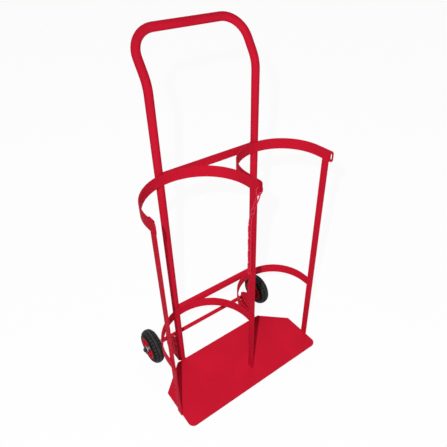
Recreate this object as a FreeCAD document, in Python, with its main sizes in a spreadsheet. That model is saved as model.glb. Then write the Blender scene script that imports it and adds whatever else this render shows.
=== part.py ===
"""Double cylinder cart: a welded trolley that carries two gas cylinders side by side.

The post between the two bays stands off the middle, so that the left bay takes a wider cylinder.
Millimetres. +Z is up and the open front of the two bays faces -Y. The origin is the middle of
the base plate's underside, on the floor.
"""
import FreeCAD
import Part
import Sketcher
import math
import os

V = FreeCAD.Vector
UP = V(0, 0, 1)

# Driving dimensions: each can be changed by itself.
SIZES = {
    # Base plate: a sheet whose two back corners are cut off.
    "plate_width": 600,
    "plate_depth": 256,
    "plate_thickness": 5,
    "plate_side_length": 165,
    "plate_back_width": 406,
    "plate_corner_radius": 22,
    # Bent tube: the legs, the lean and the push bar.
    "tube_diameter": 25,
    "tube_wall": 2,
    "leg_spacing": 351,
    "bend_height": 1085,
    "bend_radius": 90,
    "lean_angle": 33.2,
    "handle_rise": 115,
    "handle_corner_radius": 70,
    # Hoops: flat strip bent to a U.
    "strip_height": 35,
    "strip_thickness": 4,
    "upper_hoop_top": 837,
    "lower_hoop_top": 296,
    "catch_overhang": 12,
    "eye_overhang": 15.5,
    "lower_arm_inset": 3,
    "arm_corner_radius": 7,
    # Flat bars: the side uprights and the post between the bays.
    "bar_width": 25,
    "bar_thickness": 4,
    "bar_reach": 183,
    "post_offset": 17,
    # Chain catch in the outer arms, and chain eye in the inner arms.
    "slot_width": 6.5,
    "slot_length": 20,
    "slot_edge": 7,
    "eye_diameter": 9,
    "eye_edge": 7,
    # Axle and what holds it.
    "axle_diameter": 16,
    "axle_offset": 81,
    "axle_end": 4,
    "axle_chamfer": 1.5,
    "bracket_thickness": 5,
    "bracket_nose_radius": 18,
    "bracket_foot": 2,
    "bracket_lap": 5,
    "bracket_top": 137,
    "bracket_heel_radius": 15,
    "collar_width": 8,
    "collar_diameter": 26,
    "washer_thickness": 2.5,
    "washer_diameter": 31,
    "pin_diameter": 3.2,
    "pin_eye_radius": 3.6,
    "pin_end_length": 10,
    "pin_spread": 50,
    # Wheels.
    "wheel_track": 524,
    "wheel_diameter": 138,
    "wheel_lift": 1,
    "tread_width": 34,
    "crown_radius": 25,
    "sidewall_bulge": 4.5,
    "tread_groove_width": 3,
    "tread_groove_depth": 3,
    "tread_groove_spacing": 13,
    "rim_seat_width": 40,
    "rim_seat_diameter": 76,
    "rim_flange_height": 6,
    "rim_metal": 2,
    "rim_bend_radius": 4,
    "hub_diameter": 26,
    "hub_wall": 2.5,
    "hub_length": 52,
    "bush_flange": 2,
    "bush_depth": 14,
    "bolt_circle_diameter": 49,
    "bolt_diameter": 6,
    "bolt_head_width": 10,
    "bolt_head_height": 4,
    "bolt_nut_height": 5,
    "bolt_end": 1.5,
    # Chain.
    "chain_wire": 4,
    "chain_inner_width": 6.5,
    "chain_pitch": 24,
    "chain_link_count": 13,
    "anchor_wire": 5,
    "anchor_inner_width": 16,
    "anchor_inner_length": 21,
    "anchor_lift": 1,
    "chain_sideways": 13,
    "chain_setback": 22,
    # Clearances.
    "running_clearance": 0.05,
    "side_play": 0.4,
    "seat_clearance": 0.1,
    "hole_clearance": 0.2,
    "chain_clearance": 0.2,
}

# Places and sizes that follow from the driving dimensions.
PLACES = {
    "back_edge": "sizes.plate_depth / 2",
    "tube_radius": "sizes.tube_diameter / 2",
    "leg_x": "sizes.leg_spacing / 2",
    "leg_y": "back_edge + tube_radius",
    "bar_y": "back_edge - sizes.bar_reach",
    "bar_front": "bar_y - sizes.bar_width / 2",
    "outer_face": "sizes.plate_width / 2 + sizes.bar_thickness + sizes.strip_thickness",
    "left_hoop_radius": "(outer_face + sizes.post_offset - sizes.bar_thickness / 2) / 2",
    "right_hoop_radius": "(outer_face - sizes.post_offset - sizes.bar_thickness / 2) / 2",
    "left_hoop_x": "left_hoop_radius - outer_face",
    "right_hoop_x": "outer_face - right_hoop_radius",
    "left_hoop_y": "back_edge - left_hoop_radius",
    "right_hoop_y": "back_edge - right_hoop_radius",
    "upper_outer_end": "bar_front - sizes.catch_overhang",
    "upper_inner_end": "bar_front - sizes.eye_overhang",
    "lower_outer_end": "bar_front + sizes.lower_arm_inset",
    "lower_inner_end": "bar_front + sizes.lower_arm_inset",
    "eye_y": "upper_inner_end + sizes.eye_edge",
    "eye_z": "sizes.upper_hoop_top - sizes.strip_height / 2",
    "axle_radius": "sizes.axle_diameter / 2",
    "axle_y": "back_edge + sizes.axle_offset",
    "axle_z": "sizes.wheel_diameter / 2 + sizes.wheel_lift",
    "wheel_x": "sizes.wheel_track / 2",
    "hub_reach": "sizes.hub_length / 2 + sizes.bush_flange + sizes.side_play",
    "collar_x": "wheel_x - hub_reach - sizes.collar_width",
    "washer_x": "wheel_x + hub_reach",
    "pin_x": "washer_x + sizes.washer_thickness + sizes.pin_diameter / 2 + sizes.hole_clearance",
    "pin_eye_wire": "0.55 * sizes.pin_diameter",
    "pin_end_wire": "0.4 * sizes.pin_diameter",
    "axle_length": "2 * (pin_x + sizes.pin_diameter / 2 + sizes.axle_end)",
    "bush_bore": "axle_radius + sizes.running_clearance",
    "rim_seat_radius": "sizes.rim_seat_diameter / 2",
    "rim_seat_reach": "sizes.rim_seat_width / 2",
    "bead_radius": "rim_seat_radius + sizes.seat_clearance",
    "bead_reach": "rim_seat_reach - sizes.seat_clearance",
    "wall_foot": "rim_seat_radius + sizes.rim_flange_height + sizes.seat_clearance",
    "crown_centre": "sizes.wheel_diameter / 2 - sizes.crown_radius",
    "shoulder": "crown_centre + sqrt(sizes.crown_radius ^ 2 - (sizes.tread_width / 2) ^ 2)",
    "wall_chord": "sqrt((sizes.tread_width / 2 - bead_reach) ^ 2 + (shoulder - wall_foot) ^ 2)",
    "wall_radius": "(wall_chord ^ 2 / 4 + sizes.sidewall_bulge ^ 2) / (2 * sizes.sidewall_bulge)",
    "anchor_top_z": "eye_z + sizes.anchor_lift",
    "anchor_reach": "(sizes.anchor_inner_length + sizes.anchor_wire) / 2",
}

doc = FreeCAD.newDocument("double_cylinder_cart")


def make_sheet(name, cells):
    """Spreadsheet with a named cell for each entry."""
    sheet = doc.addObject("Spreadsheet::Sheet", name)
    for row, (alias, content) in enumerate(cells.items(), start=1):
        sheet.set(f"A{row}", alias)
        sheet.set(f"B{row}", content)
        sheet.setAlias(f"B{row}", alias)
    doc.recompute()
    return sheet


sizes = make_sheet("sizes", {alias: str(number) for alias, number in SIZES.items()})
places = make_sheet("places", {alias: "=" + formula for alias, formula in PLACES.items()})


def size(alias):
    return float(sizes.get(alias))


def spot(alias):
    return float(places.get(alias))


# Document helpers

def place(thing, x="0", y="0", z="0", rotation=None):
    """Bind a placement's position to expressions, after an optional fixed turn."""
    if rotation:
        thing.Placement = FreeCAD.Placement(V(), rotation)
    for axis, expression in zip("xyz", (x, y, z)):
        thing.setExpression(f"Placement.Base.{axis}", expression)
    return thing


ALONG_X = FreeCAD.Rotation(UP, V(1, 0, 0))
TURNED = FreeCAD.Rotation(UP, 180)


def cylinder(name, radius, height, rotation=None, **position):
    thing = doc.addObject("Part::Cylinder", name)
    thing.setExpression("Radius", radius)
    thing.setExpression("Height", height)
    return place(thing, rotation=rotation, **position)


def cut(name, base, tools):
    """The base with all the tools taken out of it."""
    tool = tools[0]
    if len(tools) > 1:
        tool = doc.addObject("Part::MultiFuse", name + "_tools")
        tool.Shapes = tools
    thing = doc.addObject("Part::Cut", name)
    thing.Base = base
    thing.Tool = tool
    return thing


def group(name, members):
    """Like solids that share one node."""
    thing = doc.addObject("Part::Compound", name)
    thing.Links = members
    return thing


def ring(name, outer_radius, inner_radius, length, x):
    """Plain ring about the axle's line, from x towards +X."""
    position = {"x": x, "y": "places.axle_y", "z": "places.axle_z"}
    outside = cylinder(name + "_outside", outer_radius, length, ALONG_X, **position)
    bore = cylinder(name + "_bore", inner_radius, length, ALONG_X, **position)
    return cut(name, outside, [bore])


def new_body(name):
    return doc.addObject("PartDesign::Body", name)


def origin_feature(body, role):
    return next(feature for feature in body.Origin.OriginFeatures if feature.Role == role)


def new_sketch(body, role, lift=None):
    """Sketch on one of the body's origin planes, or lifted off it along its normal."""
    sketch = body.newObject("Sketcher::SketchObject", body.Name + "_sketch")
    sketch.AttachmentSupport = [(origin_feature(body, role), "")]
    sketch.MapMode = "FlatFace"
    if lift:
        sketch.setExpression("AttachmentOffset.Base.z", lift)
    return sketch


def origin():
    """A sketch's own origin, as a constraint names it."""
    return -1, 1


def level_axis():
    """A sketch's own first axis, as a constraint names it."""
    return -1


def upright_axis():
    """A sketch's own second axis, as a constraint names it."""
    return -2


def constrain(sketch, kind, *where):
    sketch.addConstraint(Sketcher.Constraint(kind, *where))


def dimension(sketch, kind, where, expression):
    """Driving dimension, added at its present value and then bound to an expression."""
    if kind == "Radius":
        present = sketch.Geometry[where[0]].Radius
    else:
        gap = sketch.getPoint(*where[2:]) - sketch.getPoint(*where[:2])
        present = gap.x if kind == "DistanceX" else gap.y
    index = sketch.addConstraint(Sketcher.Constraint(kind, *where, present))
    sketch.setExpression(f"Constraints[{index}]", expression)


def line(sketch, start, end):
    return sketch.addGeometry(Part.LineSegment(V(*start, 0), V(*end, 0)))


def circle(sketch, centre, radius, construction=False):
    return sketch.addGeometry(Part.Circle(V(*centre, 0), UP, radius), construction)


def arc(sketch, centre, radius, start, end):
    return sketch.addGeometry(Part.ArcOfCircle(Part.Circle(V(*centre, 0), UP, radius), start, end))


def polygon(sketch, points):
    """Closed outline of lines, joined corner to corner. Returns the lines' numbers."""
    lines = [line(sketch, point, points[(k + 1) % len(points)]) for k, point in enumerate(points)]
    for k, number in enumerate(lines):
        constrain(sketch, "Coincident", number, 2, lines[(k + 1) % len(lines)], 1)
    return lines


def rectangle(sketch, low, high):
    """Upright rectangle from its low to its high corner: bottom, right, top and left lines."""
    lines = polygon(sketch, [low, (high[0], low[1]), high, (low[0], high[1])])
    for number, kind in zip(lines, ("Horizontal", "Vertical", "Horizontal", "Vertical")):
        constrain(sketch, kind, number)
    return lines


def feature(body, kind, name, **properties):
    """PartDesign feature whose text properties are expressions and whose others are values."""
    thing = body.newObject("PartDesign::" + kind, f"{body.Name}_{name}")
    for key, setting in properties.items():
        if isinstance(setting, str):
            thing.setExpression(key, setting)
        else:
            setattr(thing, key, setting)
    return thing


def revolved(body, kind, sketch):
    """Full turn of a sketch on the XZ plane about the X axis."""
    return feature(body, kind, kind.lower(), Profile=sketch, Angle=360.0, ReferenceAxis=(sketch, ["H_Axis"]))


def through_cut(body, sketch, forward):
    """Cut a sketch through everything on one side of its plane, and check that it cut."""
    before = body.Tip.Shape.Volume
    pocket = feature(body, "Pocket", "cut", Profile=sketch, Type=1, Reversed=forward)
    doc.recompute()
    if pocket.Shape.Volume >= before:
        raise RuntimeError(f"{body.Name}: a cut missed the solid")
    return pocket


def around_axle(body, originals, count):
    """Repeat features about the body's X axis."""
    pattern = feature(body, "PolarPattern", "pattern", Originals=originals, Angle=360.0, Occurrences=count,
                      Axis=(origin_feature(body, "X_Axis"), [""]))
    body.Tip = pattern
    return pattern


def edge_names(shape, test):
    return [f"Edge{k}" for k, edge in enumerate(shape.Edges, start=1) if test(edge)]


# Welded frame

def base_plate():
    body = new_body("base_plate")
    half, depth = size("plate_width") / 2, size("plate_depth")
    front = -depth / 2
    side_end = front + size("plate_side_length")
    back_half = size("plate_back_width") / 2
    outline = new_sketch(body, "XY_Plane")
    bottom, right, _, back, _, left = polygon(outline, [
        (-half, front), (half, front), (half, side_end),
        (back_half, -front), (-back_half, -front), (-half, side_end)])
    constrain(outline, "Symmetric", bottom, 1, bottom, 2, upright_axis())
    constrain(outline, "Symmetric", left, 1, right, 2, upright_axis())
    constrain(outline, "Symmetric", back, 1, back, 2, upright_axis())
    constrain(outline, "Vertical", right)
    dimension(outline, "DistanceX", (bottom, 1, bottom, 2), "sizes.plate_width")
    dimension(outline, "DistanceX", (back, 2, back, 1), "sizes.plate_back_width")
    dimension(outline, "DistanceY", (right, 1, right, 2), "sizes.plate_side_length")
    dimension(outline, "DistanceY", (right, 1, *origin()), "places.back_edge")
    dimension(outline, "DistanceY", (*origin(), back, 1), "places.back_edge")
    pad = feature(body, "Pad", "pad", Profile=outline, Length="sizes.plate_thickness")
    doc.recompute()

    def at_front_corner(edge):
        ends = [vertex.Point for vertex in edge.Vertexes]
        upright = abs(ends[0].z - ends[-1].z) > size("plate_thickness") / 2
        return upright and ends[0].y < front + size("plate_thickness")

    feature(body, "Fillet", "corners", Base=(pad, edge_names(pad.Shape, at_front_corner)),
            Radius="sizes.plate_corner_radius")
    return body


def rounded_corner(before, corner, after, radius):
    """Start, middle and end of the arc that rounds a corner of a path."""
    into = (corner - before).normalize()
    out = (after - corner).normalize()
    turn = into.getAngle(out)
    reach = radius * math.tan(turn / 2)
    inward = (out - into).normalize()
    middle = corner + inward * (radius / math.cos(turn / 2) - radius)
    return corner - into * reach, middle, corner + out * reach


def rounded_path(points, radii):
    """Wire of straight runs, with an arc at each inner point."""
    edges = []
    last = points[0]
    for before, corner, after, radius in zip(points, points[1:], points[2:], radii):
        start, middle, end = rounded_corner(before, corner, after, radius)
        edges.append(Part.LineSegment(last, start).toShape())
        edges.append(Part.Arc(start, middle, end).toShape())
        last = end
    edges.append(Part.LineSegment(last, points[-1]).toShape())
    return Part.Wire(edges)


def swept_circle(name, path, radius):
    """Round bar along the tube's path, from the left foot."""
    section = doc.addObject("Part::Circle", name + "_section")
    section.setExpression("Radius", radius)
    place(section, x="-places.leg_x", y="places.leg_y")
    sweep = doc.addObject("Part::Sweep", name)
    sweep.Sections = [section]
    sweep.Spine = (path, [f"Edge{k}" for k in range(1, len(path.Shape.Edges) + 1)])
    sweep.Solid = True
    return sweep


def handle_frame():
    lean = math.radians(size("lean_angle"))
    rise = size("handle_rise")
    right_foot = V(spot("leg_x"), spot("leg_y"), 0)
    right_bend = right_foot + UP * size("bend_height")
    right_corner = right_bend + V(0, math.tan(lean), 1) * rise
    right = [right_foot, right_bend, right_corner]
    left = [V(-point.x, point.y, point.z) for point in right]
    path = doc.addObject("Part::Feature", "handle_path")
    bend, corner = size("bend_radius"), size("handle_corner_radius")
    path.Shape = rounded_path(left + right[::-1], [bend, corner, corner, bend])
    outside = swept_circle("handle_outside", path, "places.tube_radius")
    bore = swept_circle("handle_bore", path, "places.tube_radius - sizes.tube_wall")
    return cut("handle_frame", outside, [bore])


def cross_tube(name, hoop_top):
    """Tube between the legs at the middle of a hoop's strip, its ends coped to the legs."""
    height = f"{hoop_top} - sizes.strip_height / 2"
    run = {"x": "-places.leg_x", "y": "places.leg_y", "z": height}
    length = "sizes.leg_spacing"
    saddle = "places.tube_radius + sizes.seat_clearance"
    outside = cylinder(name + "_outside", "places.tube_radius", length, ALONG_X, **run)
    bore = cylinder(name + "_bore", "places.tube_radius - sizes.tube_wall", length, ALONG_X, **run)
    saddles = [cylinder(f"{name}_{side}_saddle", saddle, "sizes.bend_height",
                        x=f"{sign}places.leg_x", y="places.leg_y")
               for side, sign in (("left", "-"), ("right", ""))]
    return cut(name, outside, [bore] + saddles)


def hoop(level, bay):
    """Strip bent to a U that opens to the front, at the upper or lower level of the left or right bay."""
    body = new_body(f"{level}_{bay}_hoop")
    reach = {arm: f"places.{bay}_hoop_y - places.{level}_{arm}_end" for arm in ("inner", "outer")}
    left, right = ("outer", "inner") if bay == "left" else ("inner", "outer")
    ends = {arm: spot(f"{level}_{arm}_end") - spot(f"{bay}_hoop_y") for arm in reach}
    outer = spot(f"{bay}_hoop_radius")
    inner = outer - size("strip_thickness")
    plan = new_sketch(body, "XY_Plane")
    back = arc(plan, (0, 0), outer, 0, math.pi)
    left_out = line(plan, (-outer, 0), (-outer, ends[left]))
    left_end = line(plan, (-outer, ends[left]), (-inner, ends[left]))
    left_in = line(plan, (-inner, ends[left]), (-inner, 0))
    hollow = arc(plan, (0, 0), inner, 0, math.pi)
    right_in = line(plan, (inner, 0), (inner, ends[right]))
    right_end = line(plan, (inner, ends[right]), (outer, ends[right]))
    right_out = line(plan, (outer, ends[right]), (outer, 0))
    joints = [
        (back, 2, left_out, 1), (left_out, 2, left_end, 1),
        (left_end, 2, left_in, 1), (left_in, 2, hollow, 2),
        (hollow, 1, right_in, 1), (right_in, 2, right_end, 1),
        (right_end, 2, right_out, 1), (right_out, 2, back, 1),
    ]
    for joint in joints:
        constrain(plan, "Coincident", *joint)
    for curve in (back, hollow):
        constrain(plan, "Coincident", curve, 3, *origin())
        constrain(plan, "PointOnObject", curve, 1, level_axis())
        constrain(plan, "PointOnObject", curve, 2, level_axis())
    for straight in (left_out, left_in, right_in, right_out):
        constrain(plan, "Vertical", straight)
    for end in (left_end, right_end):
        constrain(plan, "Horizontal", end)
    dimension(plan, "Radius", (back,), f"places.{bay}_hoop_radius")
    dimension(plan, "DistanceX", (left_end, 1, left_end, 2), "sizes.strip_thickness")
    dimension(plan, "DistanceY", (left_out, 2, left_out, 1), reach[left])
    dimension(plan, "DistanceY", (right_out, 1, right_out, 2), reach[right])
    strip = feature(body, "Pad", "pad", Profile=plan, Length="sizes.strip_height")
    place(body, x=f"places.{bay}_hoop_x", y=f"places.{bay}_hoop_y",
          z=f"sizes.{level}_hoop_top - sizes.strip_height")
    doc.recompute()
    if level == "upper":
        round_arm_ends(body, strip)
        chain_catch(body, bay, reach["outer"])
        chain_eye(body, bay, reach["inner"])
    return body


def round_arm_ends(body, strip):
    """Round the corners of a hoop's two free ends."""

    def at_end(edge):
        ends = [vertex.Point for vertex in edge.Vertexes]
        across = abs(ends[0].x - ends[-1].x) > size("strip_thickness") / 2
        return across and max(point.y for point in ends) < -size("strip_thickness")

    feature(body, "Fillet", "arm_ends", Base=(strip, edge_names(strip.Shape, at_end)),
            Radius="sizes.arm_corner_radius")
    doc.recompute()


def chain_catch(body, bay, arm_reach):
    """Upright slot near the end of a hoop's outer arm, where a link of the chain drops in."""
    end = spot("upper_outer_end") - spot(f"{bay}_hoop_y")
    reach = end + size("slot_edge")
    middle = size("strip_height") / 2
    radius = size("slot_width") / 2
    half = size("slot_length") / 2 - radius
    slot = new_sketch(body, "YZ_Plane")
    right = line(slot, (reach + radius, middle - half), (reach + radius, middle + half))
    top = arc(slot, (reach, middle + half), radius, 0, math.pi)
    left = line(slot, (reach - radius, middle + half), (reach - radius, middle - half))
    bottom = arc(slot, (reach, middle - half), radius, math.pi, 2 * math.pi)
    for joint in ((right, 2, top, 1), (top, 2, left, 1), (left, 2, bottom, 1), (bottom, 2, right, 1)):
        constrain(slot, "Tangent", *joint)
    constrain(slot, "Vertical", right)
    constrain(slot, "Equal", top, bottom)
    dimension(slot, "Radius", (top,), "sizes.slot_width / 2")
    dimension(slot, "DistanceX", (top, 3, *origin()), f"{arm_reach} - sizes.slot_edge")
    dimension(slot, "DistanceY", (*origin(), top, 3),
              "(sizes.strip_height + sizes.slot_length - sizes.slot_width) / 2")
    dimension(slot, "DistanceY", (bottom, 3, top, 3), "sizes.slot_length - sizes.slot_width")
    through_cut(body, slot, forward=bay == "right")


def chain_eye(body, bay, arm_reach):
    """Round hole near the end of a hoop's inner arm, for the chain's anchor link."""
    centre = (spot("eye_y") - spot(f"{bay}_hoop_y"), size("strip_height") / 2)
    eye = new_sketch(body, "YZ_Plane")
    hole = circle(eye, centre, size("eye_diameter") / 2)
    dimension(eye, "Radius", (hole,), "sizes.eye_diameter / 2")
    dimension(eye, "DistanceX", (hole, 3, *origin()), f"{arm_reach} - sizes.eye_edge")
    dimension(eye, "DistanceY", (*origin(), hole, 3), "sizes.strip_height / 2")
    through_cut(body, eye, forward=bay == "left")


def flat_bar(name, x, foot):
    """Upright flat bar, its wide faces to the sides, up to the top of the upper hoops."""
    bar = doc.addObject("Part::Box", name)
    bar.setExpression("Length", "sizes.bar_thickness")
    bar.setExpression("Width", "sizes.bar_width")
    bar.setExpression("Height", f"sizes.upper_hoop_top - {foot}")
    return place(bar, x=x, y="places.bar_front", z=foot)


def tangent_point(point, centre, radius, turn):
    """Where a line from the point touches a circle. turn is 1 or -1 for the two touches."""
    gap = point - centre
    swing = turn * math.acos(radius / gap.Length)
    return centre + FreeCAD.Rotation(UP, math.degrees(swing)).multVec(gap.normalize()) * radius


def axle_bracket(name, sign):
    """Plate on the outer side of a leg: its nose goes round the axle, over a straight heel and foot."""
    body = new_body(name)
    front = spot("leg_y") - size("bracket_lap")
    nose = size("bracket_nose_radius")
    foot, top = V(front, size("bracket_foot")), V(front, size("bracket_top"))
    centre = V(spot("axle_y"), spot("axle_z"))
    back = centre.x + nose
    upper = tangent_point(top, centre, nose, -1)
    profile = new_sketch(body, "YZ_Plane")
    weld = line(profile, (foot.x, foot.y), (top.x, top.y))
    flank = line(profile, (top.x, top.y), (upper.x, upper.y))
    swing = math.atan2(upper.y - centre.y, upper.x - centre.x)
    round_nose = arc(profile, (centre.x, centre.y), nose, 0, swing)
    heel = line(profile, (back, centre.y), (back, foot.y))
    base = line(profile, (back, foot.y), (foot.x, foot.y))
    hole = circle(profile, (centre.x, centre.y), spot("axle_radius"))
    constrain(profile, "Coincident", weld, 2, flank, 1)
    constrain(profile, "Tangent", flank, 2, round_nose, 2)
    constrain(profile, "Tangent", heel, 1, round_nose, 1)
    constrain(profile, "Coincident", heel, 2, base, 1)
    constrain(profile, "Coincident", base, 2, weld, 1)
    constrain(profile, "Vertical", weld)
    constrain(profile, "Vertical", heel)
    constrain(profile, "Horizontal", base)
    constrain(profile, "Coincident", hole, 3, round_nose, 3)
    dimension(profile, "Radius", (round_nose,), "sizes.bracket_nose_radius")
    dimension(profile, "Radius", (hole,), "places.axle_radius + sizes.seat_clearance")
    dimension(profile, "DistanceX", (*origin(), round_nose, 3), "places.axle_y")
    dimension(profile, "DistanceY", (*origin(), round_nose, 3), "places.axle_z")
    dimension(profile, "DistanceX", (*origin(), weld, 1), "places.leg_y - sizes.bracket_lap")
    dimension(profile, "DistanceY", (*origin(), weld, 1), "sizes.bracket_foot")
    dimension(profile, "DistanceY", (*origin(), weld, 2), "sizes.bracket_top")
    plate = feature(body, "Pad", "pad", Profile=profile, Length="sizes.bracket_thickness", Midplane=True)
    doc.recompute()

    def at_heel(edge):
        ends = [vertex.Point for vertex in edge.Vertexes]
        across = abs(ends[0].x - ends[-1].x) > size("bracket_thickness") / 2
        return across and ends[0].y > centre.x and ends[0].z < centre.y - nose

    feature(body, "Fillet", "heel", Base=(plate, edge_names(plate.Shape, at_heel)),
            Radius="sizes.bracket_heel_radius")
    return place(body, x=f"{sign}(places.leg_x + places.tube_radius + sizes.bracket_thickness / 2)")


def axle():
    """Plain rod through both brackets, cross-drilled at its ends for the split pins."""
    body = new_body("axle")
    section = new_sketch(body, "YZ_Plane")
    rim = circle(section, (0, 0), spot("axle_radius"))
    constrain(section, "Coincident", rim, 3, *origin())
    dimension(section, "Radius", (rim,), "places.axle_radius")
    rod = feature(body, "Pad", "rod", Profile=section, Length="places.axle_length", Midplane=True)
    doc.recompute()
    ends = edge_names(rod.Shape, lambda edge: len(edge.Vertexes) == 1)
    feature(body, "Chamfer", "ends", Base=(rod, ends), Size="sizes.axle_chamfer")
    drilling = new_sketch(body, "XY_Plane")
    holes = [circle(drilling, (sign * spot("pin_x"), 0), size("pin_diameter") / 2) for sign in (-1, 1)]
    constrain(drilling, "Symmetric", holes[0], 3, holes[1], 3, *origin())
    constrain(drilling, "PointOnObject", holes[1], 3, level_axis())
    constrain(drilling, "Equal", *holes)
    dimension(drilling, "Radius", (holes[0],), "sizes.pin_diameter / 2 + sizes.hole_clearance")
    dimension(drilling, "DistanceX", (*origin(), holes[1], 3), "places.pin_x")
    doc.recompute()
    feature(body, "Pocket", "pin_holes", Profile=drilling, Type=1, Midplane=True)
    return place(body, y="places.axle_y", z="places.axle_z")


def axle_collars():
    shape = ("sizes.collar_diameter / 2", "places.axle_radius + sizes.seat_clearance", "sizes.collar_width")
    return group("axle_collars", [
        ring("left_collar", *shape, x="-places.collar_x - sizes.collar_width"),
        ring("right_collar", *shape, x="places.collar_x")])


def axle_washers():
    hole = "places.axle_radius + sizes.hole_clearance"
    shape = ("sizes.washer_diameter / 2", hole, "sizes.washer_thickness")
    return group("axle_washers", [
        ring("left_washer", *shape, x="-places.washer_x - sizes.washer_thickness"),
        ring("right_washer", *shape, x="places.washer_x")])


def split_pin(name, sign):
    """Round pin through the axle, with an eye above it and its two ends spread below it."""
    body = new_body(name)
    lift = "places.axle_radius + sizes.pin_eye_radius + sizes.pin_diameter / 2"
    eye = new_sketch(body, "XY_Plane", lift=lift)
    wire = circle(eye, (0, size("pin_eye_radius")), spot("pin_eye_wire"))
    constrain(eye, "PointOnObject", wire, 3, upright_axis())
    dimension(eye, "Radius", (wire,), "places.pin_eye_wire")
    dimension(eye, "DistanceY", (*origin(), wire, 3), "sizes.pin_eye_radius")
    revolved(body, "Revolution", eye)
    stem = pin_section(body, "places.axle_radius + sizes.pin_diameter / 2", "sizes.pin_diameter / 2")
    feature(body, "Pad", "stem", Profile=stem, Reversed=True,
            Length="sizes.axle_diameter + sizes.pin_diameter")
    for turn in (-1, 1):
        end = pin_section(body, "-places.axle_radius - sizes.pin_diameter / 2", "places.pin_end_wire",
                          tilt=turn * (180 - size("pin_spread")))
        feature(body, "Pad", "end", Profile=end, Length="sizes.pin_end_length")
    return place(body, x=f"{sign}places.pin_x", y="places.axle_y", z="places.axle_z")


def pin_section(body, height, radius, tilt=0):
    """Round section of a split pin at a height on its line, tilted about the axle's direction."""
    section = new_sketch(body, "XY_Plane", lift=height)
    section.AttachmentOffset = FreeCAD.Placement(V(), FreeCAD.Rotation(V(1, 0, 0), tilt))
    rim = circle(section, (0, 0), size("pin_diameter") / 2)
    constrain(section, "Coincident", rim, 3, *origin())
    dimension(section, "Radius", (rim,), radius)
    return section


def split_pins():
    return group("split_pins", [split_pin("left_pin", "-"), split_pin("right_pin", "")])


# Wheels: every piece is drawn about the X axis at the wheel's middle

def on_wheel(body, sign, outward=True):
    """Set a wheel's piece on the axle, turned so that its +X side faces out or in."""
    turned = (sign == "-") == outward
    return place(body, x=f"{sign}places.wheel_x", y="places.axle_y", z="places.axle_z",
                 rotation=TURNED if turned else None)


def tyre(name, sign):
    """Tyre that sits between the rim's flanges, bulges over them and has a rounded tread."""
    body = new_body(name)
    crown_radius, wall_radius = size("crown_radius"), spot("wall_radius")
    tread, shoulder = size("tread_width") / 2, spot("shoulder")
    bead, bead_radius, foot = spot("bead_reach"), spot("bead_radius"), spot("wall_foot")
    section = new_sketch(body, "XZ_Plane")
    crown_half = math.asin(tread / crown_radius)
    seat = line(section, (-bead, bead_radius), (bead, bead_radius))
    right_bead = line(section, (bead, bead_radius), (bead, foot))
    right_wall = sidewall(section, (bead, foot), (tread, shoulder), wall_radius)
    crown = arc(section, (0, spot("crown_centre")), crown_radius,
                math.pi / 2 - crown_half, math.pi / 2 + crown_half)
    left_wall = sidewall(section, (-tread, shoulder), (-bead, foot), wall_radius)
    left_bead = line(section, (-bead, foot), (-bead, bead_radius))
    outline = [seat, right_bead, right_wall, crown, left_wall, left_bead]
    for number, following in zip(outline, outline[1:] + outline[:1]):
        constrain(section, "Coincident", number, 2, following, 1)
    constrain(section, "Symmetric", seat, 1, seat, 2, upright_axis())
    constrain(section, "Symmetric", left_bead, 1, right_bead, 2, upright_axis())
    constrain(section, "Symmetric", crown, 1, crown, 2, upright_axis())
    constrain(section, "Vertical", right_bead)
    constrain(section, "Equal", right_wall, left_wall)
    dimension(section, "DistanceY", (*origin(), seat, 2), "places.bead_radius")
    dimension(section, "DistanceX", (seat, 1, seat, 2), "2 * places.bead_reach")
    dimension(section, "DistanceY", (*origin(), right_bead, 2), "places.wall_foot")
    dimension(section, "DistanceX", (crown, 2, crown, 1), "sizes.tread_width")
    dimension(section, "Radius", (crown,), "sizes.crown_radius")
    dimension(section, "DistanceY", (*origin(), crown, 3), "places.crown_centre")
    dimension(section, "Radius", (right_wall,), "places.wall_radius")
    revolved(body, "Revolution", section)
    doc.recompute()
    tread_grooves(body)
    return on_wheel(body, sign)


def sidewall(sketch, start, end, radius):
    """Arc that bulges out from start to end, counterclockwise."""
    chord = V(*end, 0) - V(*start, 0)
    middle = (V(*end, 0) + V(*start, 0)) * 0.5
    inward = V(-chord.y, chord.x, 0).normalize()
    centre = middle + inward * math.sqrt(radius ** 2 - (chord.Length / 2) ** 2)
    angles = [math.atan2(point[1] - centre.y, point[0] - centre.x) for point in (start, end)]
    return arc(sketch, (centre.x, centre.y), radius, *angles)


def tread_grooves(body):
    """Two grooves round the tyre, evenly about its middle."""
    width, outer = size("tread_groove_width"), size("wheel_diameter") / 2
    centre = size("tread_groove_spacing") / 2
    floor = outer - size("tread_groove_depth")
    profile = new_sketch(body, "XZ_Plane")
    for sign in (-1, 1):
        low = (sign * centre - width / 2, floor)
        high = (sign * centre + width / 2, outer)
        bottom, right, top, _ = rectangle(profile, low, high)
        dimension(profile, "DistanceX", (bottom, 1, bottom, 2), "sizes.tread_groove_width")
        dimension(profile, "DistanceY", (*origin(), bottom, 2),
                  "sizes.wheel_diameter / 2 - sizes.tread_groove_depth")
        dimension(profile, "DistanceY", (*origin(), right, 2), "sizes.wheel_diameter / 2")
        if sign > 0:
            dimension(profile, "DistanceX", (*origin(), bottom, 1),
                      "(sizes.tread_groove_spacing - sizes.tread_groove_width) / 2")
        else:
            dimension(profile, "DistanceX", (bottom, 2, *origin()),
                      "(sizes.tread_groove_spacing - sizes.tread_groove_width) / 2")
    before = body.Tip.Shape.Volume
    groove = revolved(body, "Groove", profile)
    doc.recompute()
    if groove.Shape.Volume >= before:
        raise RuntimeError(f"{body.Name}: the tread grooves missed the tyre")


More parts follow.
